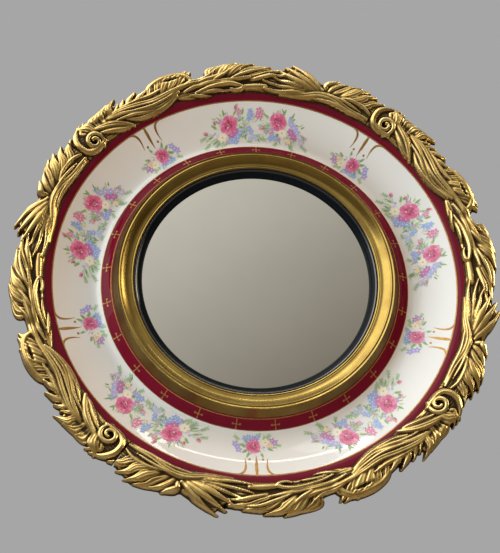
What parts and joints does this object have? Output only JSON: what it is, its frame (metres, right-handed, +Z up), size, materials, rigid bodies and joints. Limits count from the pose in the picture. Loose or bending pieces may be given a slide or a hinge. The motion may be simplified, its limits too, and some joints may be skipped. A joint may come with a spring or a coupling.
{
  "type": "girandole mirror",
  "caption": "Round wall mirror: convex glass in a brass bezel and black slip, set in a dished floral porcelain ring with a gilt acanthus border.",
  "frame": {"origin": "centre of the wall plane behind the mirror, where the four wall pads touch the wall", "axes": "+Z up as hung, +X to the right seen from the front, the glass faces -Y and the wall is on the +Y side"},
  "size_m": [0.6219, 0.0685, 0.6212],
  "materials": {
    "gilt_casting": "antique gilt, polished on the ridges, with brown patina in the recesses",
    "porcelain": "glossy white glaze with burgundy bands, gilding and painted bouquets",
    "bezel_brass": "polished spun brass",
    "black_lacquer": "gloss black lacquer",
    "mirror_glass": "silvered convex glass",
    "base_wood": "turned and stained",
    "plywood": "unfinished plywood",
    "grey_card": "grey backing card",
    "felt": "dark felt",
    "hardware_brass": "brass-plated pressings",
    "screw_steel": "zinc-plated steel"
  },
  "bodies": {
    "frame": {"acanthus_segment_1": "gilt_casting", "acanthus_segment_2": "gilt_casting", "acanthus_segment_3": "gilt_casting", "acanthus_segment_4": "gilt_casting", "porcelain_ring": "porcelain", "inner_cushion_ring": "felt", "outer_cushion_ring": "felt", "mirror_glass": "mirror_glass", "glass_spacer_ring": "plywood", "backing_card": "grey_card", "backboard": "plywood", "slip_ring": "black_lacquer", "brass_bezel": "bezel_brass", "bezel_nut_1": "screw_steel", "bezel_nut_2": "screw_steel", "bezel_nut_3": "screw_steel", "bezel_nut_4": "screw_steel", "border_screw_1": "screw_steel", "border_screw_2": "screw_steel", "border_screw_3": "screw_steel", "border_screw_4": "screw_steel", "border_screw_5": "screw_steel", "border_screw_6": "screw_steel", "border_screw_7": "screw_steel", "border_screw_8": "screw_steel", "turn_button_screw_1": "screw_steel", "turn_button_screw_2": "screw_steel", "turn_button_screw_3": "screw_steel", "turn_button_screw_4": "screw_steel", "hanger_strap_left": "hardware_brass", "hanger_screw_left_1": "screw_steel", "hanger_screw_left_2": "screw_steel", "hanger_strap_right": "hardware_brass", "hanger_screw_right_1": "screw_steel", "hanger_screw_right_2": "screw_steel", "wall_pad_1": "felt", "wall_pad_2": "felt", "wall_pad_3": "felt", "wall_pad_4": "felt", "wooden_base_ring": "base_wood"},
    "left_ring": {"hanging_ring_left": "hardware_brass"},
    "right_ring": {"hanging_ring_right": "hardware_brass"},
    "button_1": {"turn_button_1": "hardware_brass"},
    "button_2": {"turn_button_2": "hardware_brass"},
    "button_3": {"turn_button_3": "hardware_brass"},
    "button_4": {"turn_button_4": "hardware_brass"}
  },
  "joints": [
    {"name": "left_ring_swing", "type": "hinge", "parent": "frame", "child": "left_ring", "pos_m": [-0.185, -0.00645, 0.112], "axis": [1, 0, 0], "range_deg": [0, 180]},
    {"name": "right_ring_swing", "type": "hinge", "parent": "frame", "child": "right_ring", "pos_m": [0.185, -0.00645, 0.112], "axis": [1, 0, 0], "range_deg": [0, 180]},
    {"name": "button_1_turn", "type": "hinge", "parent": "frame", "child": "button_1", "pos_m": [0.12587, -0.0089, 0.12587], "axis": [0, 1, 0], "range_deg": [-90, 90]},
    {"name": "button_2_turn", "type": "hinge", "parent": "frame", "child": "button_2", "pos_m": [-0.12587, -0.0089, 0.12587], "axis": [0, 1, 0], "range_deg": [-90, 90]},
    {"name": "button_3_turn", "type": "hinge", "parent": "frame", "child": "button_3", "pos_m": [-0.12587, -0.0089, -0.12587], "axis": [0, 1, 0], "range_deg": [-90, 90]},
    {"name": "button_4_turn", "type": "hinge", "parent": "frame", "child": "button_4", "pos_m": [0.12587, -0.0089, -0.12587], "axis": [0, 1, 0], "range_deg": [-90, 90]}
  ]
}
